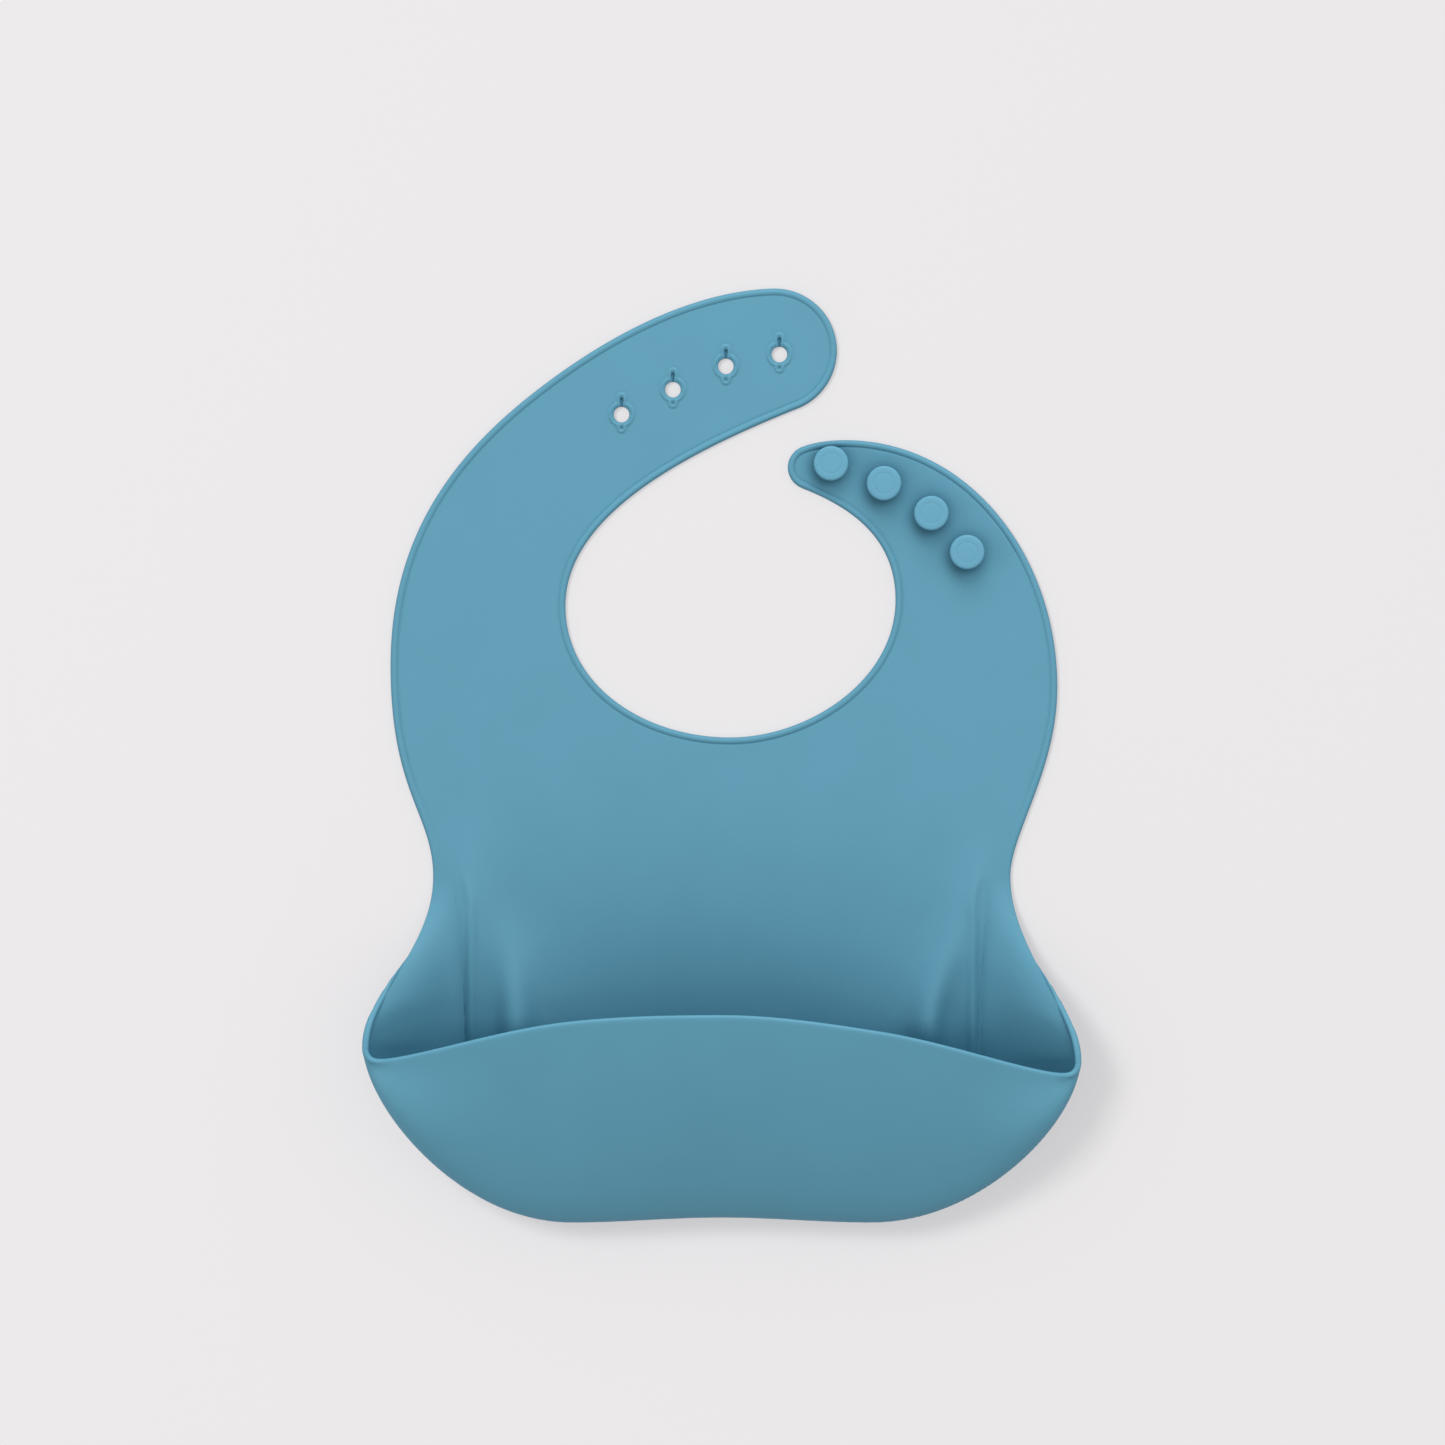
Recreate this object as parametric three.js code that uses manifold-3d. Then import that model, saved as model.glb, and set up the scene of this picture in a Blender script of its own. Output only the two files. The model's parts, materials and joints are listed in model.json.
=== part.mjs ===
// Silicone baby bib with a catch pocket, lying on its back. Millimetres, +Z up.
// X runs across the bib, Y from the pocket towards the neck, and the table is the plane z = 0.
// The origin is on the table under the middle of the bib's box.
//
// The real bib is one flexible moulding. Here it is divided into zones where it flexes, so that
// the zones can fold about hinge lines, and each snap stud is a piece of its own.
import * as THREE from 'three';
import { mergeVertices } from 'three/addons/utils/BufferGeometryUtils.js';
import Module from 'manifold-3d';

const wasm = await Module();
wasm.setup();

// ---- Driving dimensions -------------------------------------------------------------------
const SHEET = 2.0; // thickness of the silicone
const BEAD_WIDTH = 2.7; // rounded border along the straps, the neck and the sides
const BEAD_HEIGHT = 2.6;

const WAIST = { x: 92.7, y: -39 }; // narrowest place, where the side edges start to rise
const RIM_CORNER = { x: 114.4, leftY: -94, rightY: -98, z: 25 }; // pocket's upper corners
const LOBE = { x: 48, y: -149 }; // lowest points of the wavy bottom edge
const BOTTOM_Y = -147.4; // bottom edge between the two lobes
const EQUATOR_Z = 14; // height of the bottom edge, where the wall stands upright
const FLOOR = { x: 82, y: -136 }; // the flat back ends in a crease on these lines
const LIP = { y: -83.4, z: 43 }; // middle of the pocket's lip
const LIP_SLOPE = Math.tan(THREE.MathUtils.degToRad(10)); // how the front wall meets the lip

const NECK = { x: 3, y: 50 }; // centre that the strap folds radiate from
const WAIST_FOLD_Y = -30;
const FOLD_GAP = 1.0; // open slot on each fold line, so that a folded zone clears its neighbour
const HOLE_STRAP_FOLDS = [180, 145, 113]; // directions of the fold lines from NECK, in degrees
const STUD_STRAP_FOLDS = [0, 30];
const STRAP_SPLIT = { x: 15, y: 105.5 }; // between the two strap ends

const FRONT_HALF_WIDTH = 64; // the pocket's front wall moves between x = -64 and x = 64
const FRONT_BOTTOM_Z = 17;
const FRONT_SLOT = 2; // below the moving wall, with the hinge line in the middle of it
const ZONE_GAP = 0.3; // between zones that don't move apart

const HOLE_RADIUS = 2.6;
const HOLES = [[-32.2, 109.5], [-15.7, 117.5], [1.3, 125], [18.5, 128.8]];
const STUDS = [[35.1, 93.8], [52.1, 87.4], [67.3, 77.8], [78.8, 65.3]];
const STUD = { headRadius: 5.5, headThickness: 2.2, stemRadius: 2.4, headBottom: 4.5, edge: 0.5 };
const SOCKET = { radius: 2.7, floor: 0.7 }; // blind hole that a stud's stem stands in

const CURVE_STEPS = 14; // steps along each curve of the flat outline
const WALL_STEPS = 14; // steps along each stretch of the pocket's wall
const TURN_UP_STEPS = 6; // steps from the crease up to the bottom edge
const FRONT_STEPS = 9; // steps from the bottom edge up to the lip
const REACH = 400; // longer than the bib, for cutting tools
const MERGE_DISTANCE = 1e-4;

// ---- Solids --------------------------------------------------------------------------------
function toSolid(geometry) {
  geometry.deleteAttribute('normal');
  geometry.deleteAttribute('uv');
  const merged = mergeVertices(geometry, MERGE_DISTANCE);
  return new wasm.Manifold(new wasm.Mesh({
    numProp: 3,
    vertProperties: merged.attributes.position.array,
    triVerts: new Uint32Array(merged.index.array),
  }));
}

function toGeometry(solid) {
  const mesh = solid.getMesh();
  const geometry = new THREE.BufferGeometry();
  geometry.setAttribute('position', new THREE.BufferAttribute(mesh.vertProperties, 3));
  geometry.setIndex(new THREE.BufferAttribute(mesh.triVerts, 1));
  geometry.computeVertexNormals();
  return geometry;
}

// A flat solid from z = low to z = high.
function slab(points, low, high) {
  const geometry = new THREE.ExtrudeGeometry(new THREE.Shape(points), {
    depth: high - low,
    bevelEnabled: false,
  });
  geometry.translate(0, 0, low);
  return toSolid(geometry);
}

function block(x0, x1, y0, y1, z0, z1) {
  const geometry = new THREE.BoxGeometry(x1 - x0, y1 - y0, z1 - z0);
  geometry.translate((x0 + x1) / 2, (y0 + y1) / 2, (z0 + z1) / 2);
  return toSolid(geometry);
}

function disc([x, y], radius, z0, z1) {
  const geometry = new THREE.CylinderGeometry(radius, radius, z1 - z0, 32);
  geometry.rotateX(Math.PI / 2);
  geometry.translate(x, y, (z0 + z1) / 2);
  return toSolid(geometry);
}

// A curved sheet of thickness SHEET. rows[i][j] are the points of its middle surface.
function thickSheet(rows) {
  const last = { i: rows.length - 1, j: rows[0].length - 1 };
  const count = rows.length * rows[0].length;
  const at = (i, j, side) => side * count + i * rows[0].length + j;
  const points = [[], []];
  rows.forEach((row, i) => row.forEach((middle, j) => {
    const along = new THREE.Vector3().subVectors(
      rows[Math.min(i + 1, last.i)][j], rows[Math.max(i - 1, 0)][j]);
    const across = new THREE.Vector3().subVectors(
      row[Math.min(j + 1, last.j)], row[Math.max(j - 1, 0)]);
    const normal = along.cross(across).setLength(SHEET / 2);
    points[0].push(...middle.clone().add(normal).toArray());
    points[1].push(...middle.clone().sub(normal).toArray());
  }));
  const faces = [];
  const quad = (a, b, c, d) => faces.push(a, b, c, a, c, d);
  for (let i = 0; i < last.i; i += 1) {
    for (let j = 0; j < last.j; j += 1) {
      quad(at(i, j, 0), at(i + 1, j, 0), at(i + 1, j + 1, 0), at(i, j + 1, 0));
      quad(at(i, j, 1), at(i, j + 1, 1), at(i + 1, j + 1, 1), at(i + 1, j, 1));
    }
    quad(at(i, 0, 0), at(i, 0, 1), at(i + 1, 0, 1), at(i + 1, 0, 0));
    quad(at(i, last.j, 0), at(i + 1, last.j, 0), at(i + 1, last.j, 1), at(i, last.j, 1));
  }
  for (let j = 0; j < last.j; j += 1) {
    quad(at(0, j, 0), at(0, j + 1, 0), at(0, j + 1, 1), at(0, j, 1));
    quad(at(last.i, j, 0), at(last.i, j, 1), at(last.i, j + 1, 1), at(last.i, j + 1, 0));
  }
  const geometry = new THREE.BufferGeometry();
  geometry.setAttribute('position', new THREE.Float32BufferAttribute(points.flat(), 3));
  geometry.setIndex(faces);
  return toSolid(geometry);
}

// ---- Flat outline: sides, straps and neck --------------------------------------------------
function outerEdge() {
  const path = new THREE.Path();
  path.moveTo(-WAIST.x, WAIST.y);
  path.bezierCurveTo(-WAIST.x, -18.7, -106.4, -12.6, -106.4, 29);
  path.bezierCurveTo(-106.4, 67.4, -89.1, 93.7, -62, 115.3);
  path.bezierCurveTo(-39.8, 133, -11.7, 149, 16.3, 150); // outer edge of the hole strap
  const radians = THREE.MathUtils.degToRad;
  path.absarc(17, 130, 20, radians(92), radians(-68), true); // its round end
  path.bezierCurveTo(-6.1, 99.1, -50.2, 79, -50.2, 48); // its inner edge, down to the neck
  path.bezierCurveTo(-50.2, 22.3, -24.7, 5.8, 2.7, 5.8);
  path.bezierCurveTo(27.6, 5.8, 55.8, 24, 55.8, 50);
  path.bezierCurveTo(55.8, 68.8, 43, 79.2, 25.6, 85.9); // inner edge of the stud strap
  path.absarc(28.3, 92.5, 7.1, radians(-112), radians(-245), true); // its round end
  path.bezierCurveTo(28.5, 100.4, 34, 101.3, 39.6, 101.3);
  path.bezierCurveTo(79.3, 101.3, 107.8, 64.2, 107.8, 22);
  path.bezierCurveTo(107.8, -5.1, WAIST.x, -24.9, WAIST.x, WAIST.y);
  return evenPoints(path);
}

// The points of a path, without doubles where its stretches join.
function evenPoints(path) {
  return path.getPoints(CURVE_STEPS).filter((point, i, all) => (
    i === 0 || point.distanceTo(all[i - 1]) > 0.05));
}

// The same edge moved inwards, to its right-hand side, by a distance.
function inset(points, distance) {
  return points.map((point, i) => {
    const before = points[Math.max(i - 1, 0)];
    const after = points[Math.min(i + 1, points.length - 1)];
    const direction = new THREE.Vector2().subVectors(after, before).normalize();
    return new THREE.Vector2(point.x + direction.y * distance, point.y - direction.x * distance);
  });
}

// ---- Pocket: three lines that its wall is drawn between ------------------------------------
const cubic = (a, b, c, d) => new THREE.CubicBezierCurve3(a, b, c, d);

// One half of the pocket, from the waist past the corner to the middle. side is -1 or 1.
function pocketLines(side, cornerY) {
  const at = (x, y, z) => new THREE.Vector3(side * x, y, z);
  const low = SHEET / 2;
  const corner = at(RIM_CORNER.x, cornerY, RIM_CORNER.z);
  const lobe = at(LOBE.x, LOBE.y, EQUATOR_Z);
  const creaseCorner = at(FLOOR.x, cornerY, low);
  const lipShoulder = at(52, LIP.y - 2.1 + (cornerY - RIM_CORNER.leftY) / 2, 40);
  return {
    rim: [
      cubic(at(WAIST.x - 1, WAIST.y, low), at(WAIST.x - 1, -62, low),
        at(RIM_CORNER.x, cornerY + 16, RIM_CORNER.z), corner),
      cubic(corner, at(RIM_CORNER.x, cornerY - 16, RIM_CORNER.z), at(86, LOBE.y, EQUATOR_Z), lobe),
      cubic(lobe, at(32, LOBE.y, EQUATOR_Z), at(16.5, BOTTOM_Y, EQUATOR_Z),
        at(0, BOTTOM_Y, EQUATOR_Z)),
    ],
    crease: [
      cubic(at(WAIST.x - 4, WAIST.y, low), at(84, -52, low), at(FLOOR.x, -70, low), creaseCorner),
      cubic(creaseCorner, at(FLOOR.x, -118, low), at(66, FLOOR.y, low), at(45, FLOOR.y, low)),
      cubic(at(45, FLOOR.y, low), at(30, FLOOR.y, low), at(15, FLOOR.y, low),
        at(0, FLOOR.y, low)),
    ],
    lip: [
      cubic(corner, at(95, cornerY - 0.5, 31), at(72, lipShoulder.y - 2.5, 37.5), lipShoulder),
      cubic(lipShoulder, at(36, lipShoulder.y + 2, 42), at(16, LIP.y, LIP.z),
        at(0, LIP.y, LIP.z)),
    ],
  };
}

// Points along both halves of a line, from the left waist or corner to the right one.
function wholeLine(left, right) {
  const sample = (curves) => curves.flatMap((curve, i) => (
    curve.getPoints(WALL_STEPS).slice(i === 0 ? 0 : 1)));
  return [...sample(left), ...sample(right).reverse().slice(1)];
}

const leftLines = pocketLines(-1, RIM_CORNER.leftY);
const rightLines = pocketLines(1, RIM_CORNER.rightY);
const crease = wholeLine(leftLines.crease, rightLines.crease);
const rim = wholeLine(leftLines.rim, rightLines.rim);
const lip = wholeLine(leftLines.lip, rightLines.lip);

// From the crease up to the rim: a nearly straight wing at the sides, a round turn-up below.
function turnUp() {
  const middle = (rim.length - 1) / 2;
  const rows = rim.map((top, i) => {
    const steps = middle - Math.abs(i - middle); // from the nearer waist
    const roundness = THREE.MathUtils.smoothstep(steps / WALL_STEPS, 0.5, 2);
    const foot = crease[i];
    const straight = foot.clone().lerp(top, 0.5);
    const upright = new THREE.Vector3(top.x, top.y, foot.z);
    const control = straight.lerp(upright, roundness);
    return new THREE.QuadraticBezierCurve3(foot, control, top).getPoints(TURN_UP_STEPS);
  });
  return thickSheet(rows);
}

// From the rim over to the lip. The first and last rows stop just short of the corners.
function frontWall() {
  const rows = lip.map((edge, i) => {
    const foot = rim[i + WALL_STEPS];
    const reach = Math.hypot(edge.x - foot.x, edge.y - foot.y);
    const height = Math.max(edge.z - LIP_SLOPE * reach, foot.z);
    const control = new THREE.Vector3(foot.x, foot.y, height);
    return new THREE.QuadraticBezierCurve3(foot, control, edge).getPoints(FRONT_STEPS);
  });
  return thickSheet(rows.slice(1, -1));
}

// ---- The whole moulding, then its zones ----------------------------------------------------
const edge = outerEdge();
const creaseEdge = crease.map((p) => new THREE.Vector2(p.x, p.y)).reverse();
let moulding = slab([...edge, ...creaseEdge], 0, SHEET);
const bead = slab([...edge, ...inset(edge, BEAD_WIDTH).reverse()], 0, BEAD_HEIGHT);
moulding = moulding.add(bead).add(turnUp()).add(frontWall());
for (const centre of HOLES) {
  moulding = moulding.subtract(disc(centre, HOLE_RADIUS, -1, BEAD_HEIGHT + 1));
}
for (const centre of STUDS) {
  moulding = moulding.subtract(disc(centre, SOCKET.radius, SOCKET.floor, BEAD_HEIGHT + 1));
}

const TOP = LIP.z + 10;
const aboveFold = block(-REACH, REACH, WAIST_FOLD_Y + FOLD_GAP / 2, NECK.y - FOLD_GAP / 2, -1, TOP);
const belowFold = block(-REACH, REACH, -REACH, WAIST_FOLD_Y - FOLD_GAP / 2, -1, TOP);

// Everything on one side of a strap's fold line. turn 1 is anticlockwise of it, -1 clockwise.
function beyondFold(degrees, turn) {
  const geometry = new THREE.BoxGeometry(2 * REACH, REACH, TOP);
  geometry.translate(0, turn * (REACH + FOLD_GAP) / 2, TOP / 2 - 1);
  geometry.rotateZ(THREE.MathUtils.degToRad(degrees));
  geometry.translate(NECK.x, NECK.y, 0);
  return toSolid(geometry);
}

// The region of the plane above NECK.y that holds one strap.
function strapRegion(points) {
  return slab(points.map(([x, y]) => new THREE.Vector2(x, y)), -1, TOP);
}

const holeStrapRegion = strapRegion([
  [-REACH, NECK.y], [STRAP_SPLIT.x, NECK.y], [STRAP_SPLIT.x, STRAP_SPLIT.y],
  [REACH, STRAP_SPLIT.y], [REACH, REACH], [-REACH, REACH]]);
const studStrapRegion = strapRegion([
  [STRAP_SPLIT.x, NECK.y], [REACH, NECK.y], [REACH, STRAP_SPLIT.y],
  [STRAP_SPLIT.x, STRAP_SPLIT.y]]);

// The zones of one strap, from its root to its end. turn is the way round that it runs.
function strapZones(region, folds, turn) {
  const strap = moulding.intersect(region);
  return folds.map((fold, i) => {
    const zone = strap.intersect(beyondFold(fold, turn));
    return i + 1 < folds.length ? zone.intersect(beyondFold(folds[i + 1], -turn)) : zone;
  });
}

const [holeRoot, holeMiddle, holeEnd] = strapZones(holeStrapRegion, HOLE_STRAP_FOLDS, -1);
const [studRoot, studEnd] = strapZones(studStrapRegion, STUD_STRAP_FOLDS, 1);

// The part of the pocket between two values of x, from a height upwards.
function pocketSlice(x0, x1, low) {
  return moulding.intersect(belowFold).intersect(block(x0, x1, -REACH, WAIST_FOLD_Y, low, TOP));
}

const inner = FRONT_HALF_WIDTH;
const outer = FRONT_HALF_WIDTH + ZONE_GAP;
const pocketFront = pocketSlice(-inner, inner, FRONT_BOTTOM_Z);
const pocketBack = pocketSlice(-inner, inner, -1).subtract(
  block(-REACH, REACH, -REACH, WAIST_FOLD_Y, FRONT_BOTTOM_Z - FRONT_SLOT, TOP));
const leftGusset = pocketSlice(-REACH, -outer, -1);
const rightGusset = pocketSlice(outer, REACH, -1);

// ---- Studs ---------------------------------------------------------------------------------
function studGeometry([x, y]) {
  const top = STUD.headBottom + STUD.headThickness;
  const bottom = SOCKET.floor + ZONE_GAP;
  const profile = [
    [0, bottom], [STUD.stemRadius, bottom], [STUD.stemRadius, STUD.headBottom],
    [STUD.headRadius - STUD.edge, STUD.headBottom],
    [STUD.headRadius, STUD.headBottom + STUD.edge],
    [STUD.headRadius, top - STUD.edge], [STUD.headRadius - STUD.edge, top], [0, top],
  ].map(([radius, height]) => new THREE.Vector2(radius, height));
  const geometry = new THREE.LatheGeometry(profile, 32);
  geometry.rotateX(Math.PI / 2);
  geometry.translate(x, y, 0);
  return geometry;
}

// ---- Scene graph ---------------------------------------------------------------------------
const silicone = new THREE.MeshStandardMaterial({
  name: 'silicone', color: 0x649cb2, roughness: 0.6, metalness: 0,
});
const studSilicone = new THREE.MeshStandardMaterial({
  name: 'stud_silicone', color: 0x70a8c0, roughness: 0.55, metalness: 0,
});

const bib = new THREE.Group();
function addPiece(name, geometry, material = silicone) {
  const mesh = new THREE.Mesh(geometry, material);
  mesh.name = name;
  bib.add(mesh);
}

addPiece('chest_panel', toGeometry(moulding.intersect(aboveFold)));
addPiece('hole_strap_root', toGeometry(holeRoot));
addPiece('hole_strap_middle', toGeometry(holeMiddle));
addPiece('hole_strap_end', toGeometry(holeEnd));
addPiece('stud_strap_root', toGeometry(studRoot));
addPiece('stud_strap_end', toGeometry(studEnd));
addPiece('pocket_back', toGeometry(pocketBack));
addPiece('pocket_front', toGeometry(pocketFront));
addPiece('left_gusset', toGeometry(leftGusset));
addPiece('right_gusset', toGeometry(rightGusset));
STUDS.forEach((centre, i) => addPiece(`stud_${i + 1}`, studGeometry(centre), studSilicone));

export default bib;
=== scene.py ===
"""Silicone bib lying on its back, front up.

The bib's moulding is built as one skin, in millimetres, and then cut into pieces along lines where it
doesn't bend. The studs are pieces of their own.
"""

import json
import math

import bmesh
import bpy
import numpy as np
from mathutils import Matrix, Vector
from mathutils.geometry import delaunay_2d_cdt


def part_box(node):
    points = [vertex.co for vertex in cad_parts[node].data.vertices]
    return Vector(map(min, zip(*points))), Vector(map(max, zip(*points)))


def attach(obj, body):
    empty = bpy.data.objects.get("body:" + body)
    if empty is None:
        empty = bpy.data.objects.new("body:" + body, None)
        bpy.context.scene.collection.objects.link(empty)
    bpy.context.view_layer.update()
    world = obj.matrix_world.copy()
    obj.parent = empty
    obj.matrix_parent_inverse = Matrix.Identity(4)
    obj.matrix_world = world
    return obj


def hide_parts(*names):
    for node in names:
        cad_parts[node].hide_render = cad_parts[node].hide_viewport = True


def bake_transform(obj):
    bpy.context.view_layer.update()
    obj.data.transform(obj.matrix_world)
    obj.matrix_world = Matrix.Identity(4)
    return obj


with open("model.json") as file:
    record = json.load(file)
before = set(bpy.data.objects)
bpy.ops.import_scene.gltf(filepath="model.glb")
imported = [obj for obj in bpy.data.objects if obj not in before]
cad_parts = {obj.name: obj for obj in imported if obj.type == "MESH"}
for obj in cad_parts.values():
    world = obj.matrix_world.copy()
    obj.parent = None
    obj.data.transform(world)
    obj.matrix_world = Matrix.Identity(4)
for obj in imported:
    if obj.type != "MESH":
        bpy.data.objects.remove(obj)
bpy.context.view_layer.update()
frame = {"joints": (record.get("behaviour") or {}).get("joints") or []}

MM = 0.001

# ---- Places taken from the CAD model, in millimetres -----------------------------------------
joints = {joint["name"]: joint for joint in frame["joints"]}


def corner_of(node, which):
    """The lowest (0) or highest (1) corner of a CAD node."""
    return np.array(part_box(node)[which]) / MM


WIDEST = corner_of("right_gusset", 1)[0]
LOWEST_Y = corner_of("pocket_back", 0)[1]
LIP_TOP = corner_of("pocket_front", 1)[2]
WAIST_FOLD_Y = joints["waist_fold"]["pos_m"][1] / MM
STUDS = [(corner_of(f"stud_{i}", 0) + corner_of(f"stud_{i}", 1)) / 2 for i in (1, 2, 3, 4)]
STUD_TOP = corner_of("stud_1", 1)[2]

# ---- Sizes of the moulding, in millimetres ---------------------------------------------------
HALF = 1.0  # half the sheet's thickness
EDGE_ROUND = 0.9  # radius of the rounded edge
BEAD_RISE, BEAD_WIDTH = 0.34, 2.1
GROOVE_DEPTH, GROOVE_AT, GROOVE_HALF_WIDTH = 0.1, 2.3, 0.28
# distances in from the edge that have a line of vertices
FRONT_RINGS = (0, 0.06, 0.2, 0.4, 0.65, 0.95, 1.25, 1.5, 1.7, 1.87, 2.0, 2.1, 2.2, 2.3, 2.42, 2.56, 2.75,
               3.1, 4.0)
BACK_RINGS = (0, 0.06, 0.2, 0.45, 0.9, 2.0)

WAIST_X, WAIST_Y = 92.7, -39  # where the pocket's side leaves the flat border
CORNER_X, CORNER_Z = WIDEST - 1.1, 22  # widest place of the wall
CORNER_Y = {-1: -93.0, 1: -97.5}  # left and right
CORNER_RISE = 3.2  # free edge over the widest place
CORNER_TURN = 3.3  # radius of the free edge where it turns into the lip
FLOOR_X, FLOOR_Y = 50, -122  # the wall's grid ends on these lines, on the flat back
EQUATOR_Z = 14
LIP_Y = -83.0
SHOULDER_X, SHOULDER_Y = 52, {-1: -85.5, 1: -88.5}  # a place on the lip
SHOULDER_SLOPE = {-1: 0.125, 1: 0.16}

HOLES = ((-32.2, 109.5), (-15.7, 117.5), (1.3, 125), (18.5, 128.8))
HOLE_RADIUS = 2.5
NECK = (3, 50)

HUMP_RISE = 2.4  # at the waist
RIDGE_RISE, SWELL_RISE = 7.5, 2.2  # beside the pocket
RIB_RISE = 1.0  # along the foot of the pocket's side

EDGE_STEP = 1.0  # between vertices along the border
GRID_STEP = 2.6  # between vertices in the flat part
WALL_ROWS = 110


# ---- Curves ----------------------------------------------------------------------------------
def bezier(points, t):
    a, b, c, d = (np.array(p, float) for p in points)
    t = np.asarray(t, float)[..., None]
    return (1 - t) ** 3 * a + 3 * (1 - t) ** 2 * t * b + 3 * (1 - t) * t ** 2 * c + t ** 3 * d


def arc(centre, radius, start, end):
    angles = np.radians(np.linspace(start, end, 200))
    return np.array(centre) + radius * np.stack([np.cos(angles), np.sin(angles)], -1)


def lengths(points):
    steps = np.linalg.norm(np.diff(points, axis=0), axis=1)
    return np.concatenate([[0], np.cumsum(steps)])


def at_lengths(points, wanted):
    """Points at the wanted distances along a line."""
    run = lengths(points)
    return np.stack([np.interp(wanted, run, points[:, k]) for k in range(points.shape[1])], -1)


def smooth(x, low, high):
    t = np.clip((np.asarray(x, float) - low) / (high - low), 0, 1)
    return t * t * (3 - 2 * t)


def unit(v):
    return v / np.maximum(np.linalg.norm(v, axis=-1, keepdims=True), 1e-12)


def flat_edge():
    """Points and inward directions along the border, from the left waist round to the right one."""
    t = np.linspace(0, 1, 800)
    x, y = WAIST_X, WAIST_Y
    stretches = [
        bezier([(-x, y), (-x, -18.7), (-106.4, -12.6), (-106.4, 29)], t),
        bezier([(-106.4, 29), (-106.4, 67.4), (-89.1, 93.7), (-62, 115.3)], t),
        bezier([(-62, 115.3), (-39.8, 133), (-11.7, 149), (16.3, 150)], t),
        arc((17, 130), 20, 92, -68),
        bezier([(24.5, 111.5), (-6.1, 99.1), (-50.2, 79), (-50.2, 48)], t),
        bezier([(-50.2, 48), (-50.2, 22.3), (-24.7, 5.8), (2.7, 5.8)], t),
        bezier([(2.7, 5.8), (27.6, 5.8), (55.8, 24), (55.8, 50)], t),
        bezier([(55.8, 50), (55.8, 68.8), (43, 79.2), (25.6, 85.9)], t),
        arc((28.3, 92.5), 7.1, -112, -245),
        bezier([(25.3, 98.9), (28.5, 100.4), (34, 101.3), (39.6, 101.3)], t),
        bezier([(39.6, 101.3), (79.3, 101.3), (107.8, 64.2), (107.8, 22)], t),
        bezier([(107.8, 22), (107.8, -5.1), (x, -24.9), (x, y)], t),
    ]
    dense = np.concatenate(stretches)
    total = lengths(dense)[-1]
    at = np.linspace(0, total, int(total / EDGE_STEP) + 1)
    points = at_lengths(dense, at)
    near = 0.6  # the direction is taken over this distance to either side
    along = unit(at_lengths(dense, at + near) - at_lengths(dense, at - near))
    along[0], along[-1] = (0, 1), (0, -1)
    return points, np.stack([along[:, 1], -along[:, 0]], -1)


# ---- Heights across the sheet ----------------------------------------------------------------
def front_height(distance, bead):
    """Height of the front face over the middle surface, at a distance in from the edge."""
    distance = np.asarray(distance, float)
    inside = np.clip(1 - distance / EDGE_ROUND, 0, 1)
    plain = HALF * np.sqrt(1 - inside ** 2)
    hump = BEAD_RISE * np.sin(np.pi * np.clip(distance / BEAD_WIDTH, 0, 1)) ** 0.7
    groove = GROOVE_DEPTH * np.exp(-((distance - GROOVE_AT) / GROOVE_HALF_WIDTH) ** 2)
    return plain + bead * (hump - groove)


def bead_strength(y):
    """The border bead fades out at the waist and leaves the wings and the lip nearly plain."""
    return 0.1 + 0.9 * smooth(y, -32, 2)


def back_height(distance):
    inside = np.clip(1 - np.asarray(distance, float) / EDGE_ROUND, 0, 1)
    return HALF * np.sqrt(1 - inside ** 2)


def ridge(x, centre, inner_width, outer_width):
    """A bell curve over x, 1 at its centre, with a width for each side."""
    off = x - centre
    return np.exp(-(off / np.where(off > 0, outer_width, inner_width)) ** 2)


def inside_pocket(down):
    """The folds beside the pocket fade out behind its lip."""
    return 1 - smooth(down, 84, 112)


def fold_marks(x, y):
    """Rise of the sheet beside the pocket: a hump at the waist, and a soft ridge on a broad swell."""
    right = np.asarray(x, float) > 0
    x, down = np.abs(np.asarray(x, float)), -np.asarray(y, float)
    hump_x = 81 - 3 * smooth(down, 20, 60)
    ridge_x = 66 + np.where(right, 8, 2.5) * (1 - smooth(down, 48, 88))
    ridge_width = 7.5 - 1.5 * smooth(down, 55, 84)
    hump = HUMP_RISE * ridge(x, hump_x, 8, 9) * smooth(down, 10, 66)
    soft = RIDGE_RISE * ridge(x, ridge_x, ridge_width, 5.2) * smooth(down, 44, 110)
    swell = SWELL_RISE * ridge(x, ridge_x, 26, 6) * smooth(down, 50, 96)
    return (hump + soft + swell) * inside_pocket(down)


def crease_rib(x, y):
    """Height of the narrow rib on the front face, along the foot of the pocket's side."""
    x, down = np.abs(np.asarray(x, float)), -np.asarray(y, float)
    centre = 80.4 + 2.4 * (1 - smooth(down, 32, 50))
    return RIB_RISE * ridge(x, centre, 1.6, 1.5) * smooth(down, 26, 52) * inside_pocket(down)


def no_rib(x, y):
    """The back face has no rib."""
    return np.zeros(np.shape(x))


# ---- Keyhole eyelets -------------------------------------------------------------------------
# Each shape is a rounded bar (start, end, radius), from the hole's centre.
EYELET_OUTLINE = (((0, 0), (0, 0), 4.25), ((0, 0), (0, 5.4), 1.7), ((0, 0), (0, -4.35), 1.7))
SLIT = (((0, 2.3), (0, 4.7), 0.32), ((0, 4.4), (0, 4.95), 0.5))
DIMPLE = (((0, -4.1), (0, -4.35), 0.35),)
HOLE = (((0, 0), (0, 0), HOLE_RADIUS),)


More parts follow.
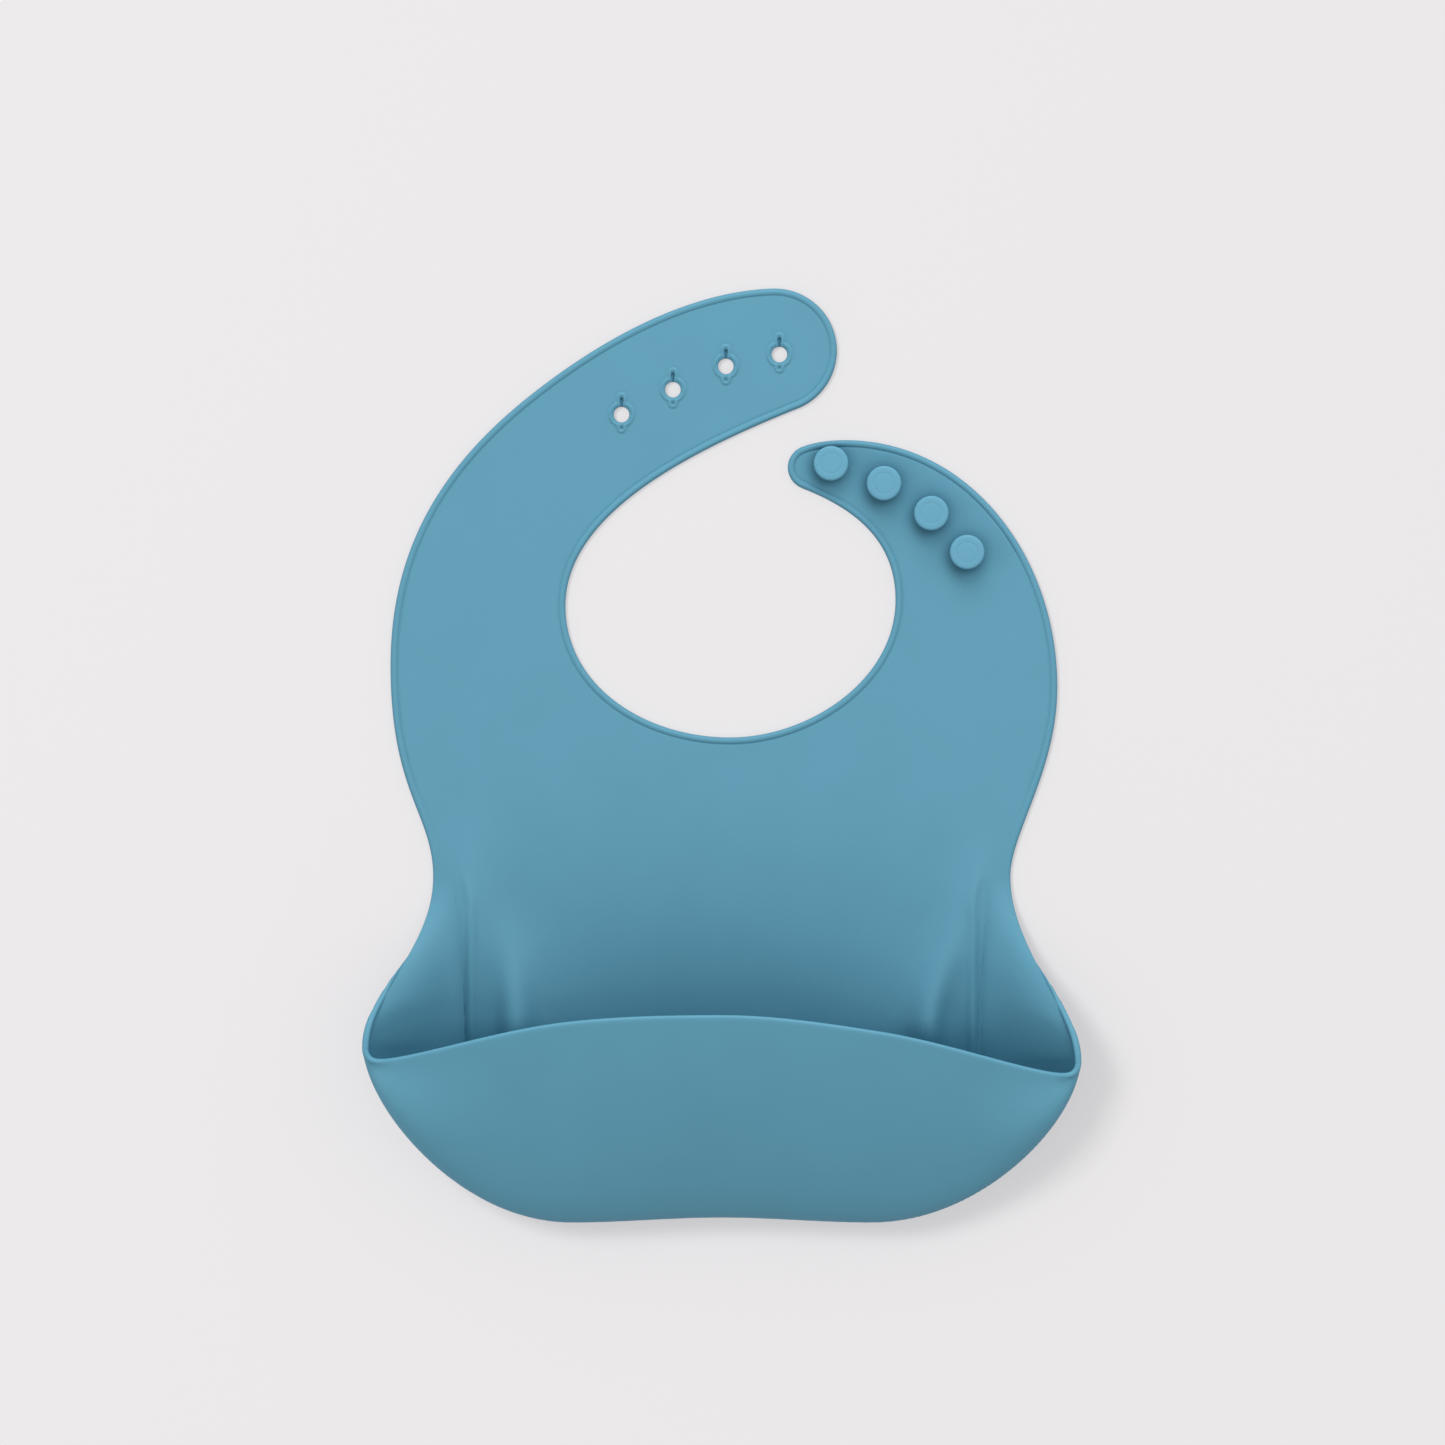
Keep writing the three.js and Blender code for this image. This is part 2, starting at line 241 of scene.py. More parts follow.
def outside(points, shapes):
    """Distance outside the nearest of some rounded bars, negative inside one."""
    found = []
    for start, end, radius in shapes:
        a, b = np.array(start, float), np.array(end, float)
        bar = b - a
        t = np.clip(((points - a) @ bar) / max(bar @ bar, 1e-9), 0, 1)
        found.append(np.linalg.norm(points - a - t[:, None] * bar, axis=1) - radius)
    return np.min(found, axis=0)


def traced(shapes, offset, step):
    """Points along the joint outline of the rounded bars, moved out by an offset."""
    kept = []
    for start, end, radius in shapes:
        r = radius + offset
        if r <= 0:
            continue
        a, b = np.array(start, float), np.array(end, float)
        length = np.linalg.norm(b - a)
        along = unit(b - a) if length > 0 else np.array([0.0, 1.0])
        across = np.array([-along[1], along[0]])
        turn = np.linspace(0, math.pi, max(int(math.pi * r / step), 4))
        half = np.cos(turn)[:, None] * across * r + np.sin(turn)[:, None] * along * r
        sides = np.linspace(0, 1, max(int(length / step), 1), endpoint=False)[1:, None]
        ring = np.concatenate([b + half, a - half[1:-1] if length == 0 else a - half,
                               a + sides * (b - a) + across * r, a + sides * (b - a) - across * r])
        kept.append(ring[outside(ring, shapes) > offset - 1e-3])
    return np.concatenate(kept)


def eyelet_height(points):
    """Rise of the front face round one hole, from points measured from its centre."""
    rim = outside(points, EYELET_OUTLINE)
    rise = 0.34 * np.exp(-((rim + 0.62) / 0.44) ** 2) - 0.08 * np.exp(-((rim - 0.22) / 0.28) ** 2)
    slit = 1 - smooth(outside(points, SLIT), -0.12, 0.1)
    dimple = 1 - smooth(outside(points, DIMPLE), -0.2, 0.2)
    lip = 0.3 * (1 - smooth(outside(points, HOLE), 0, 0.3))
    return rise - 0.6 * slit - 0.3 * dimple - lip


def eyelet_points(centre):
    """Free points of one eyelet's fine mesh."""
    rings = [traced(EYELET_OUTLINE, offset, 0.42) for offset in (-1.25, -1, -0.8, -0.62, -0.44, -0.24, 0,
                                                                 0.22, 0.45, 0.8, 1.4)]
    rings += [traced(HOLE, offset, 0.38) for offset in (0.1, 0.22, 0.38, 0.7)]
    rings += [traced(SLIT, offset, 0.22) for offset in (-0.2, -0.1, 0.0, 0.09, 0.25)]
    rings += [traced(DIMPLE, offset, 0.2) for offset in (-0.25, -0.1, 0.05, 0.2)]
    points = np.concatenate(rings)
    points = points[outside(points, HOLE) > 0.08]
    return points + centre


def hole_loop(centre):
    angles = np.linspace(0, 2 * math.pi, 44, endpoint=False)
    return np.array(centre) + HOLE_RADIUS * np.stack([np.cos(angles), np.sin(angles)], -1)


# ---- Pocket ----------------------------------------------------------------------------------
def path(curves, u):
    """A point on a chain of curves, where u counts curves from the waist on."""
    k = min(int(u), len(curves) - 1)
    return bezier(curves[k], u - k)


def pocket_lines(side):
    """Chains of curves from the waist past the corner to the middle: widest line, crease and inner end."""
    corner_y = CORNER_Y[side]

    def at(x, y, z):
        return (side * x, y, z)

    lobe_y = LOWEST_Y + HALF + 0.2
    bottom_y = lobe_y + 1.6
    widest = [
        [at(WAIST_X, WAIST_Y, HALF), at(WAIST_X, -62, HALF), at(CORNER_X, corner_y + 15.5, CORNER_Z),
         at(CORNER_X, corner_y, CORNER_Z)],
        [at(CORNER_X, corner_y, CORNER_Z), at(CORNER_X, corner_y - 16, CORNER_Z), at(86, lobe_y, EQUATOR_Z),
         at(48, lobe_y, EQUATOR_Z)],
        [at(48, lobe_y, EQUATOR_Z), at(32, lobe_y, EQUATOR_Z), at(16.5, bottom_y, EQUATOR_Z),
         at(0, bottom_y, EQUATOR_Z)],
    ]
    crease = [
        [at(WAIST_X - 5, WAIST_Y, HALF), at(84.6, -47, HALF), at(83.2, -60, HALF),
         at(82.6, corner_y, HALF)],
        [at(82.6, corner_y, HALF), at(82, -120, HALF), at(66, -135.5, HALF), at(45, -135.5, HALF)],
        [at(45, -135.5, HALF), at(30, -135.5, HALF), at(15, -135, HALF), at(0, -135, HALF)],
    ]
    inner = [
        [at(FLOOR_X, WAIST_Y, HALF), at(FLOOR_X, -57, HALF), at(FLOOR_X, -75, HALF),
         at(FLOOR_X, -93, HALF)],
        [at(FLOOR_X, -93, HALF), at(FLOOR_X, -112, HALF), at(45, FLOOR_Y, HALF), at(30, FLOOR_Y, HALF)],
        [at(30, FLOOR_Y, HALF), at(20, FLOOR_Y, HALF), at(10, FLOOR_Y, HALF), at(0, FLOOR_Y, HALF)],
    ]
    return widest, crease, inner


TURN_START, TURN_END = 1.0, 1.1  # the stretch of the widest line that the free edge's turn is over
MIDDLE = 3  # the value of u at the pocket's middle
LEAN = 78  # degrees; the lip's lean from upright


def free_edge(side, widest):
    """The sheet's free edge as a function of u: its place and the way the sheet runs there."""
    corner_y = CORNER_Y[side]
    rise = np.array([0, 0, CORNER_RISE])
    turn_y = corner_y - 1.2
    edge_z = CORNER_Z + CORNER_RISE
    turn_x = CORNER_X - CORNER_TURN
    lip_z = LIP_TOP - HALF
    shoulder_y, slope = SHOULDER_Y[side], SHOULDER_SLOPE[side]
    lip_start_y = turn_y - CORNER_TURN
    lip = [
        [(side * turn_x, lip_start_y, edge_z + 1.0),
         (side * (turn_x - 13.5), lip_start_y + 1, edge_z + 4.4),
         (side * 74, shoulder_y - 22 * slope - 0.2, lip_z - 5.4),
         (side * SHOULDER_X, shoulder_y, lip_z - 2.7)],
        [(side * SHOULDER_X, shoulder_y, lip_z - 2.7), (side * 35, shoulder_y + 17 * slope, lip_z - 0.7),
         (side * 17, LIP_Y, lip_z), (0, LIP_Y, lip_z)],
    ]

    def place(u):
        if u <= TURN_START:
            shift = (0, (turn_y - corner_y) * smooth(u, 0.8, 1), 0)
            return path(widest, u) + rise * smooth(u, 0.4, 1.0) + shift
        if u <= TURN_END:
            share = (u - TURN_START) / (TURN_END - TURN_START)
            angle = share * math.pi / 2
            x = turn_x + CORNER_TURN * math.cos(angle)
            y = turn_y - CORNER_TURN * math.sin(angle)
            return np.array([side * x, y, edge_z + share])
        if u <= 2:
            return bezier(lip[0], ((u - TURN_END) / (2 - TURN_END)) ** 1.15)
        return bezier(lip[1], u - 2)

    def lean(u):
        ahead = place(u + 0.004) - place(u - 0.004)
        inward = unit(np.array([-ahead[1], ahead[0], 0])) * -side
        share = smooth(u, TURN_START - 0.02, 1.28) ** 0.75
        angle = math.radians(LEAN) * share
        return inward * math.sin(angle) + np.array([0, 0, math.cos(angle)])

    return place, lean


def section(u, widest, crease, inner, edge):
    """The wall's middle line cut across at u: from its free edge down and back to the flat floor."""
    top, foot, end = path(widest, u), path(crease, u), path(inner, u)
    place, lean = edge
    free = place(min(u, MIDDLE - 0.0001))
    level = np.array([1, 1, 0])
    t = np.linspace(0, 1, 80)

    # the side, from its foot up to the widest place
    roundness = smooth(u, 0.6, 2.0)
    upright = 0.75 * smooth(u, 0.75, 1.1)
    reach = np.linalg.norm(top - foot)
    rise = unit((1 - upright) * unit(top - foot) + upright * np.array([0, 0, 1.0]))
    first = foot + 0.5 * (top - foot) * ((1 - roundness) + roundness * level)
    straight_handle = reach * (0.3 - 0.2 * smooth(u, 0.7, 1.0))
    round_handle = 0.52 * (top - foot)[2]
    handle = straight_handle * (1 - roundness) + roundness * round_handle
    line = [end + (foot - end) * t[:-1, None], bezier([foot, first, top - rise * handle, top], t)]

    # the front, from the widest place to the free edge
    gap = np.linalg.norm(free - top)
    if gap > 0.02:
        flat_top = smooth(u, 1.02, 1.2) * (1 - smooth(u, 1.3, 1.8))
        stand = gap * (0.38 - 0.26 * smooth(gap, 8, 50) + 0.14 * flat_top)
        before = free - lean(min(u, MIDDLE - 0.01)) * (0.42 + 0.2 * flat_top) * gap
        line.append(bezier([top, top + rise * stand, before, free], t)[1:])
    line = np.concatenate(line)[::-1].copy()
    line[:, 2] += fold_marks(line[:, 0], line[:, 1]) * (1 - smooth(line[:, 2], 2, 9))
    return line


def wall():
    """Middle surface of the pocket's wall, its front-side normals and the distances along its columns."""
    # from the waist to the middle, with the columns closest together at the corner's tight turn
    u = np.concatenate([
        np.linspace(0, 0.85, 38)[:-1],
        np.linspace(0.85, 1.0, 18)[:-1],
        np.linspace(1.0, 1.12, 30)[:-1],
        np.linspace(1.12, 1.35, 22)[:-1],
        np.linspace(1.35, 2, 34)[:-1],
        np.linspace(2, MIDDLE, 28),
    ])
    columns = []
    for side in (-1, 1):
        widest, crease, inner = pocket_lines(side)
        edge = free_edge(side, widest)
        half = [section(value, widest, crease, inner, edge) for value in u]
        columns += half if side < 0 else half[::-1][1:]
    fine = 420  # points along each column, by length
    middle = np.stack([at_lengths(c, np.linspace(0, lengths(c)[-1], fine)) for c in columns])
    run = np.stack([lengths(c) for c in middle])
    across = np.gradient(middle, axis=0)
    along = np.gradient(middle, axis=1)
    return middle, unit(np.cross(across, along)), run


def wall_face(middle, normal, run, rings, height, rib):
    """One face of the wall: rows at the rings' distances from the free edge, then even rows.

    height goes by the distance from the free edge, and rib by the place.
    """
    face = []
    for points, normals, far in zip(middle, normal, run):
        even = np.linspace(rings[-1], far[-1], WALL_ROWS + 1)[1:]
        wanted = np.concatenate([rings, even])
        place = np.stack([np.interp(wanted, far, points[:, k]) for k in range(3)], -1)
        way = unit(np.stack([np.interp(wanted, far, normals[:, k]) for k in range(3)], -1))
        rise = height(wanted) + rib(place[:, 0], place[:, 1]) * (1 - smooth(place[:, 2], 3, 9))
        face.append(place + way * rise[:, None])
    return np.stack(face)


# ---- Putting the skin together ---------------------------------------------------------------
class Skin:
    """Vertices and faces of the whole moulding, in millimetres."""

    def __init__(self):
        self.points, self.faces, self.count = [], [], 0

    def add(self, points, faces):
        self.points.append(np.asarray(points, float))
        self.faces += [[self.count + i for i in face] for face in faces]
        self.count += len(points)

    def grid(self, grid):
        rows, columns = grid.shape[:2]
        faces = [
            [i * columns + j, (i + 1) * columns + j, (i + 1) * columns + j + 1, i * columns + j + 1]
            for i in range(rows - 1) for j in range(columns - 1)
        ]
        self.add(grid.reshape(-1, 3), faces)


def in_polygon(points, polygon):
    """Which points are inside a closed polygon."""
    x, y = points[:, 0], points[:, 1]
    inside = np.zeros(len(points), bool)
    for (x0, y0), (x1, y1) in zip(polygon, np.roll(polygon, -1, axis=0)):
        crosses = (y0 > y) != (y1 > y)
        if crosses.any():
            inside ^= crosses & (x < (x1 - x0) * (y - y0) / ((y1 - y0) or 1e-12) + x0)
    return inside


def triangulated(border, holes, free):
    """Triangles over the region inside border and outside the holes."""
    loops = [border, *holes]
    vertices, edges = [], []
    for loop in loops:
        first = len(vertices)
        vertices += [Vector(p) for p in loop]
        edges += [(first + i, first + (i + 1) % len(loop)) for i in range(len(loop))]
    vertices += [Vector(p) for p in free]
    out, _, triangles, *_ = delaunay_2d_cdt(vertices, edges, [], 0, 1e-6)
    out = np.array([tuple(v) for v in out])
    triangles = np.array([tuple(t) for t in triangles])
    middle = out[triangles].mean(axis=1)
    keep = in_polygon(middle, border)
    for hole in holes:
        keep &= ~in_polygon(middle, hole)
    return out, triangles[keep]


def filling_points(border, clear):
    """An even net of points inside the border, kept clear of it and of the eyelets."""
    low, high = border.min(0), border.max(0)
    rows = np.arange(low[1], high[1], GRID_STEP * math.sqrt(3) / 2)
    net = []
    for i, y in enumerate(rows):
        x = np.arange(low[0] + (i % 2) * GRID_STEP / 2, high[0], GRID_STEP)
        net.append(np.stack([x, np.full(len(x), y)], -1))
    net = np.concatenate(net)
    net = net[in_polygon(net, border)]
    far = np.ones(len(net), bool)
    for i in range(0, len(net), 2000):
        part = net[i:i + 2000]
        gaps = np.linalg.norm(part[:, None] - border[None], axis=2).min(1)
        far[i:i + 2000] = gaps > 0.75 * clear
    for centre in HOLES:
        far &= outside(net - centre, EYELET_OUTLINE) > 2.2
    return net[far]


def flat_strip(edge, inward, rings, height, rib):
    """One face of the border: a row for each point of the edge, at the rings' distances in from it."""
    rings = np.array(rings)
    places = edge[:, None] + inward[:, None] * rings[None, :, None]
    x, y = places[..., 0], places[..., 1]
    z = HALF + height(rings) + fold_marks(x, y) + rib(x, y)
    return np.concatenate([places, z[..., None]], -1)


def fit_wall(wall_grid, strip, level, rib):
    """Moves the wall's outer vertices to meet the border and the flat part exactly."""
    count = strip.shape[1]
    wall_grid[0, :count], wall_grid[-1, :count] = strip[0], strip[-1]
    for line in (wall_grid[0, count:], wall_grid[-1, count:], wall_grid[:, -1]):
        line[:, 2] = level + fold_marks(line[:, 0], line[:, 1]) + rib(line[:, 0], line[:, 1])
    wall_grid[0, count:, 1] = wall_grid[-1, count:, 1] = WAIST_Y


def flat_border(wall_grid, strip):
    """The closed outline of the flat part, along the border's and the wall's inner vertices."""
    last = strip.shape[1] - 1
    return np.concatenate([
        strip[:, last, :2],
        wall_grid[-1, last + 1:, :2],
        wall_grid[::-1, -1, :2][1:],
        wall_grid[0, last + 1:-1, :2][::-1],
    ])


HOLE_FOOT = 0.25  # height of each hole's lower rim; its back edge is rounded off


def front_filling(border):
    """Points and triangles of the flat part's front face, with its eyelets."""
    free = [filling_points(border, GRID_STEP)]
    free += [eyelet_points(centre) for centre in HOLES]
    points, triangles = triangulated(border, [hole_loop(centre) for centre in HOLES], np.concatenate(free))
    z = 2 * HALF + fold_marks(points[:, 0], points[:, 1])
    z += crease_rib(points[:, 0], points[:, 1])
    for centre in HOLES:
        near = np.linalg.norm(points - centre, axis=1) < 9.5
        z[near] += eyelet_height(points[near] - centre)
    return np.concatenate([points, z[:, None]], -1), triangles.tolist()


def back_filling(border):
    """Points and triangles of the flat part's back face."""
    free = [filling_points(border, GRID_STEP)]
    for centre in HOLES:
        free += [traced(HOLE, offset, 0.6) + np.array(centre) for offset in (0.25, 0.8, 1.8)]
    points, triangles = triangulated(border, [hole_loop(centre) for centre in HOLES], np.concatenate(free))
    z = fold_marks(points[:, 0], points[:, 1])
    for centre in HOLES:
        near = np.linalg.norm(points - centre, axis=1) < 4
        z[near] += HOLE_FOOT * (1 - smooth(outside(points[near] - centre, HOLE), 0, 0.35))
    return np.concatenate([points, z[:, None]], -1), triangles.tolist()


def hole_wall(centre):
    """The inside of one hole, as a grid."""
    loop = hole_loop(centre)
    loop = np.concatenate([loop, loop[:1]])
    high = 2 * HALF + eyelet_height(loop - centre)
    low = np.full(len(loop), HOLE_FOOT)
    rings = [np.concatenate([loop, z[:, None]], -1) for z in (high, (high + low) / 2, low)]
    return np.stack(rings, 1)


def build_skin():
    skin = Skin()
    edge, inward = flat_edge()
    middle, normal, run = wall()

    # the bead's strength differs along the edge, so the wall's front is made column by column
    front = []
    for points, normals, far in zip(middle, normal, run):
        bead = bead_strength(points[0, 1])
        column = wall_face(points[None], normals[None], far[None], np.array(FRONT_RINGS),
                           lambda d: front_height(d, bead), crease_rib)
        front.append(column[0])
    front = np.stack(front)
    back = wall_face(middle, normal, run, np.array(BACK_RINGS), lambda d: -back_height(d), no_rib)

    bead = bead_strength(edge[:, 1])[:, None]
    front_strip = flat_strip(edge, inward, FRONT_RINGS, lambda d: front_height(d, bead), crease_rib)
    back_strip = flat_strip(edge, inward, BACK_RINGS, lambda d: -back_height(d), no_rib)
    fit_wall(front, front_strip, 2 * HALF, crease_rib)
    fit_wall(back, back_strip, 0.0, no_rib)
    for grid in (front, front_strip, back, back_strip):
        skin.grid(grid)
    skin.add(*front_filling(flat_border(front, front_strip)))
    skin.add(*back_filling(flat_border(back, back_strip)))
    for centre in HOLES:
        skin.grid(hole_wall(centre))
    return skin


def as_bmesh(skin):
    bm = bmesh.new()
    vertices = [bm.verts.new(p) for p in np.concatenate(skin.points) * MM]
    bm.verts.ensure_lookup_table()
    for face in skin.faces:
        bm.faces.new([vertices[i] for i in face])
    bmesh.ops.remove_doubles(bm, verts=bm.verts, dist=0.012 * MM)
    bmesh.ops.dissolve_degenerate(bm, edges=bm.edges, dist=0.002 * MM)
    bmesh.ops.recalc_face_normals(bm, faces=bm.faces)
    return bm


# ---- Cutting the skin into pieces ------------------------------------------------------------
def cut_piece(master, name, planes, seed):
    """The part of the skin on the kept side of each plane (point, kept direction), holding the seed."""
    bm = master.copy()
    for point, way in planes:
        geometry = bm.verts[:] + bm.edges[:] + bm.faces[:]
        bmesh.ops.bisect_plane(bm, geom=geometry, dist=1e-8, plane_co=Vector(point) * MM,
                               plane_no=Vector(way), clear_inner=True)
    start = min(bm.verts, key=lambda v: (v.co - Vector(seed) * MM).length)
    kept, queue = {start}, [start]
    while queue:
        for edge in queue.pop().link_edges:
            for vertex in edge.verts:
                if vertex not in kept:
                    kept.add(vertex)
                    queue.append(vertex)
    bmesh.ops.delete(bm, geom=[v for v in bm.verts if v not in kept], context="VERTS")
    rim = [e for e in bm.edges if e.is_boundary]
    caps = bmesh.ops.holes_fill(bm, edges=rim, sides=0)["faces"]
    for edge in rim:
        edge.smooth = False
    bmesh.ops.triangulate(bm, faces=caps)
    for face in bm.faces:
        face.smooth = True
    mesh = bpy.data.meshes.new(name)
    bm.to_mesh(mesh)
    bm.free()
    piece = bpy.data.objects.new(name, mesh)
    bpy.context.collection.objects.link(piece)
    return piece


def radial(degrees, turn):
    """A cutting plane through the neck's centre; turn 1 keeps what is anticlockwise of it."""
    angle = math.radians(degrees)
    return (*NECK, 0), (-turn * math.sin(angle), turn * math.cos(angle), 0)


def bend(piece, centre):
    """Bakes a piece's placement into its mesh."""
    centre = Vector((centre[0], centre[1], 0))
    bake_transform(piece)


def joint_place(name):
    return joints[name]["pos_m"]


POCKET_CUT_Y = -42  # just below the waist fold's bend
CHEST_TOP_Y = 38  # just below the bends at the straps' roots
HOLE_STRAP_CUTS = (162.5, 129)  # degrees round the neck's centre
STUD_STRAP_CUT = 15


def make_bib(silicone):
    master = as_bmesh(build_skin())
    up, down = (0, 1, 0), (0, -1, 0)
    pocket_cut, chest_cut = (0, POCKET_CUT_Y, 0), (0, CHEST_TOP_Y, 0)
    low_cut, high_cut = HOLE_STRAP_CUTS
    # each piece's cutting planes, and a place on it
    pieces = {
        "pocket_skin": ([(pocket_cut, down)], (0, -60, 2)),
        "chest_skin": ([(pocket_cut, up), (chest_cut, down)], (0, -20, 2)),
        "hole_strap_skin_1": ([(chest_cut, up), radial(low_cut, 1)], (-75, 55, 2)),
        "hole_strap_skin_2": ([radial(low_cut, -1), radial(high_cut, 1)], (-60, 90, 2)),
        "hole_strap_skin_3": ([radial(high_cut, -1)], (30, 135, 2)),
        "stud_strap_skin_1": ([(chest_cut, up), radial(STUD_STRAP_CUT, -1)], (80, 50, 2)),
        "stud_strap_skin_2": ([radial(STUD_STRAP_CUT, 1)], (60, 83, 2)),
    }
    made = {name: cut_piece(master, name, *rest) for name, rest in pieces.items()}
    master.free()
    for piece in made.values():
        piece.data.materials.append(silicone)

    pocket = made["pocket_skin"]
    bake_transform(pocket)
    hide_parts("pocket_back", "pocket_front", "left_gusset", "right_gusset")
    bend(made["chest_skin"], joint_place("waist_fold"))
    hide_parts("chest_panel")

    bodies = ("chest", "hole_strap_root", "hole_strap_middle", "hole_strap_end")
    for i, (degrees, half_length) in enumerate(((90, 12), (55, 14), (23, 14))):
        piece = made[f"hole_strap_skin_{i + 1}"]
        bend(piece, joint_place(f"hole_strap_fold_{i + 1}"))
        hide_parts(bodies[i + 1])
    bodies = ("chest", "stud_strap_root", "stud_strap_end")
    for i, (degrees, half_length) in enumerate(((90, 12), (120, 7))):
        piece = made[f"stud_strap_skin_{i + 1}"]
        bend(piece, joint_place(f"stud_strap_fold_{i + 1}"))
        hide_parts(bodies[i + 1])


# ---- Studs -----------------------------------------------------------------------------------
STUD_BASE, STEM_RADIUS, HEAD_RADIUS, HEAD_BOTTOM = 2 * HALF, 2.4, 5.6, 4.5


def stud_profile():
    """Radius and height from the foot, buried in the strap, up to the middle of the head's top."""
    top = STUD_TOP

    def rounded(radius, height, size, start, end):
        return [tuple(p) for p in arc((radius, height), size, start, end)[::20]]

    return [
        (0, STUD_BASE - 0.6), (3.3, STUD_BASE - 0.6), (3.3, STUD_BASE - 0.05), (2.85, STUD_BASE + 0.12),
        (2.55, STUD_BASE + 0.4), (STEM_RADIUS, STUD_BASE + 0.8), (STEM_RADIUS, HEAD_BOTTOM - 0.4),
        (2.5, HEAD_BOTTOM - 0.12), (2.8, HEAD_BOTTOM),
        *rounded(HEAD_RADIUS - 0.5, HEAD_BOTTOM + 0.5, 0.5, -90, 0),
        *rounded(HEAD_RADIUS - 0.75, top - 0.75, 0.75, 0, 90),
        (4.2, top), (3.6, top), (3.4, top - 0.02), (3.25, top - 0.07), (3.1, top - 0.02),
        (2.9, top), (2, top), (1, top), (0, top),
    ]


def make_stud(name, centre, material):
    profile = stud_profile()
    around = 72
    bm = bmesh.new()
    rings = []
    for radius, height in profile:
        if radius == 0:
            rings.append([bm.verts.new((centre[0] * MM, centre[1] * MM, height * MM))] * around)
            continue
        angles = np.linspace(0, 2 * math.pi, around, endpoint=False)
        rings.append([bm.verts.new(((centre[0] + radius * math.cos(a)) * MM,
                                    (centre[1] + radius * math.sin(a)) * MM, height * MM)) for a in angles])
    for low, high in zip(rings, rings[1:]):
        for i in range(around):
            j = (i + 1) % around
            corners = list(dict.fromkeys([low[i], low[j], high[j], high[i]]))
            bm.faces.new(corners)
    bmesh.ops.recalc_face_normals(bm, faces=bm.faces)
    for face in bm.faces:
        face.smooth = True
    mesh = bpy.data.meshes.new(name)
    bm.to_mesh(mesh)
    bm.free()
    stud = bpy.data.objects.new(name, mesh)
    bpy.context.collection.objects.link(stud)
    stud.data.materials.append(material)
    return stud


def make_studs(material):
    bodies = ("stud_strap_end", "stud_strap_end", "stud_strap_root", "stud_strap_root")
    for i, (centre, body) in enumerate(zip(STUDS, bodies)):
        stud = make_stud(f"snap_stud_{i + 1}", centre, material)
        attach(stud, body)
        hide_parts(f"stud_{i + 1}")


# ---- Finishes --------------------------------------------------------------------------------
def linear(colour):
    return [((c / 255 + 0.055) / 1.055) ** 2.4 if c > 10 else c / 255 / 12.92 for c in colour]


PAINTED_SHADE_REACH = 0.11  # metres; how far out a hollow's walls paint shade, darkening the colour inside it
# base colour factors for the darkest painted shade in hollows
PAINTED_SHADE_TINT = (0.0, 0.2, 0.32)


MOTTLING_SCALE, ROUGHNESS_SCALE, GRAIN_SCALE = 45, 260, 2600
GRAIN_DEPTH = 0.00006  # metres


def silicone_material(name, colour, roughness):
    """Matt moulded silicone: faint mottling, a fine grain and a weak sheen; painted shade darkens hollows.
    """
    material = bpy.data.materials.new(name)
    material.use_nodes = True
    nodes, links = material.node_tree.nodes, material.node_tree.links
    surface = nodes["Principled BSDF"]
    place = nodes.new("ShaderNodeTexCoord")

    def noise(scale, detail):
        node = nodes.new("ShaderNodeTexNoise")
        node.inputs["Scale"].default_value = scale
        node.inputs["Detail"].default_value = detail
        links.new(place.outputs["Object"], node.inputs["Vector"])
        return node.outputs["Fac"]

    def spread(value, low, high):
        node = nodes.new("ShaderNodeMapRange")
        node.inputs["From Min"].default_value, node.inputs["From Max"].default_value = 0.3, 0.7
        node.inputs["To Min"].default_value, node.inputs["To Max"].default_value = low, high
        links.new(value, node.inputs["Value"])
        return node.outputs["Result"]

    def mixed(factor, a, b):
        node = nodes.new("ShaderNodeMix")
        node.data_type = "RGBA"
        for socket, value in (("Factor", factor), ("A", a), ("B", b)):
            if isinstance(value, bpy.types.NodeSocket):
                links.new(value, node.inputs[socket])
            else:
                node.inputs[socket].default_value = value
        return node.outputs["Result"]

    def scaled(value, factor):
        node = nodes.new("ShaderNodeMath")
        node.operation = "MULTIPLY"
        node.inputs[1].default_value = factor
        links.new(value, node.inputs[0])
        return node.outputs["Value"]

    base = linear(colour)
    darker, lighter = (*[c * 0.985 for c in base], 1), (*[c * 1.02 for c in base], 1)
    mottled = mixed(spread(noise(MOTTLING_SCALE, 3), 0, 1), darker, lighter)
    # painted shade: ambient occlusion darkens and tints the base colour in hollows and creases
    painted_shade_ao = nodes.new("ShaderNodeAmbientOcclusion")
    painted_shade_ao.samples = 6
    painted_shade_ao.inputs["Distance"].default_value = PAINTED_SHADE_REACH
    painted_shade_colour = (*[c * k for c, k in zip(base, PAINTED_SHADE_TINT)], 1)
    links.new(mixed(painted_shade_ao.outputs["AO"], painted_shade_colour, mottled), surface.inputs["Base Color"])
    patches = spread(noise(ROUGHNESS_SCALE, 4), roughness - 0.05, roughness + 0.05)
    links.new(patches, surface.inputs["Roughness"])
    grain = nodes.new("ShaderNodeBump")
    grain.inputs["Strength"].default_value = 0.12
    grain.inputs["Distance"].default_value = GRAIN_DEPTH
    links.new(noise(GRAIN_SCALE, 2), grain.inputs["Height"])
    links.new(grain.outputs["Normal"], surface.inputs["Normal"])
    surface.inputs["IOR"].default_value = 1.41
    # painted shade also dims the specular in hollows
    links.new(scaled(painted_shade_ao.outputs["AO"], 0.36), surface.inputs["Specular IOR Level"])
    surface.inputs["Sheen Weight"].default_value = 0.3
    surface.inputs["Sheen Roughness"].default_value = 0.22
    surface.inputs["Sheen Tint"].default_value = (0.4, 0.8, 1.0, 1.0)
    return material


